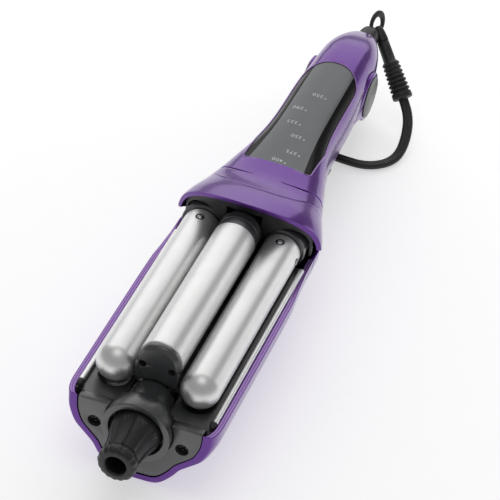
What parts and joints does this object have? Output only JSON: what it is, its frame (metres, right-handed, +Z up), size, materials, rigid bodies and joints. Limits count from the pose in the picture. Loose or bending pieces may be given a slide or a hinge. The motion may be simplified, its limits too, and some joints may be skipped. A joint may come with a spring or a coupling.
{
  "type": "hair crimper",
  "caption": "Hinged hair waving iron with parallel heated barrels, a height-adjustable centre barrel with a setting dial, a control panel handle, a hanging eye and a swivel mains cord.",
  "frame": {"origin": "centre of the object's bounding box in plan, on the surface it lies on, without the free cord", "axes": "+X towards the side that the cord leaves on, +Y from the barrels' tips to the hanging eye, +Z up through the control panel"},
  "size_m": [0.0961, 0.4413, 0.0834],
  "materials": {
    "gloss_purple": "glossy purple shell",
    "dark_grey": "satin dark grey heat-resistant plastic",
    "black": "satin black plastic",
    "steel": "plain steel",
    "silver_barrel": "satin silver-coated aluminium barrel",
    "strip_silver": "polished half-round strip",
    "panel_grey": "satin grey window with printed numbers",
    "circuit_green": "green circuit board",
    "cap_grey": "pale grey satin plastic",
    "cord_black": "soft black vinyl",
    "bezel_black": "glossy black border"
  },
  "bodies": {
    "lower_jaw": {"tray_shell": "gloss_purple", "lower_arm_shell": "gloss_purple", "lower_arm_cover": "black", "trough_insert": "dark_grey", "end_plate": "dark_grey", "dial_housing": "dark_grey", "dial_axle": "steel", "rear_guide": "black", "side_strip_left": "strip_silver", "side_strip_right": "strip_silver", "strip_end_left": "black", "strip_end_right": "black", "plate_screw_left": "steel", "plate_screw_right": "steel", "hinge_pin_left": "steel", "hinge_pin_right": "steel", "hinge_cap_left": "cap_grey", "hinge_cap_right": "cap_grey", "cord_run": "cord_black", "cord_hank": "cord_black", "cord_tie": "cord_black", "cord_lead": "cord_black", "plug_body": "cord_black", "plug_pin_left": "steel", "plug_pin_right": "steel"},
    "upper_jaw": {"head_cover": "gloss_purple", "handle_top_shell": "gloss_purple", "panel_bezel": "bezel_black", "control_panel": "panel_grey", "handle_bottom_shell": "gloss_purple", "rear_lower_cover": "cap_grey", "hinge_spring": "steel", "circuit_board": "circuit_green", "swivel_ball": "black", "hanging_loop": "black", "outer_tube_left": "silver_barrel", "outer_tube_right": "silver_barrel", "outer_collar_left": "dark_grey", "outer_collar_right": "dark_grey", "barrel_mount_left": "black", "barrel_mount_right": "black", "barrel_top_screw_left": "steel", "barrel_top_screw_right": "steel", "barrel_side_screw_left": "steel", "barrel_side_screw_right": "steel", "outer_heater_left": "steel", "outer_heater_right": "steel"},
    "centre_barrel": {"centre_tube": "silver_barrel", "centre_front_cap": "dark_grey", "follower_pin": "steel", "centre_rear_collar": "dark_grey", "slide_tongue": "black", "centre_heater": "steel", "cap_screw_left": "steel", "cap_screw_right": "steel"},
    "dial": {"dial_knob": "black", "dial_grip": "black", "scroll_cam": "cap_grey", "dial_screw": "steel"},
    "cord_swivel": {"strain_relief": "cord_black"}
  },
  "joints": [
    {"name": "clamp_hinge", "type": "hinge", "parent": "lower_jaw", "child": "upper_jaw", "pos_m": [0, 0.145, 0.0445], "axis": [-1, 0, 0], "range_deg": [0, 12], "deforming": ["cord_run"]},
    {"name": "dial_spin", "type": "hinge", "parent": "lower_jaw", "child": "dial", "pos_m": [0, -0.2065, 0.0375], "axis": [0, -1, 0], "range_deg": [0, 270]},
    {"name": "centre_slide", "type": "slide", "parent": "lower_jaw", "child": "centre_barrel", "axis": [0, 0, 1], "range_m": [-0.008, 0]},
    {"name": "cord_swivel_turn", "type": "hinge", "parent": "upper_jaw", "child": "cord_swivel", "pos_m": [0.0052, 0.2082, 0.0508], "axis": [0.605, -0.5125, -0.6094], "range_deg": [-180, 180]}
  ],
  "couplings": [
    {"joint": "dial_spin", "follows": "centre_slide", "rad_per_m": -589.04}
  ]
}
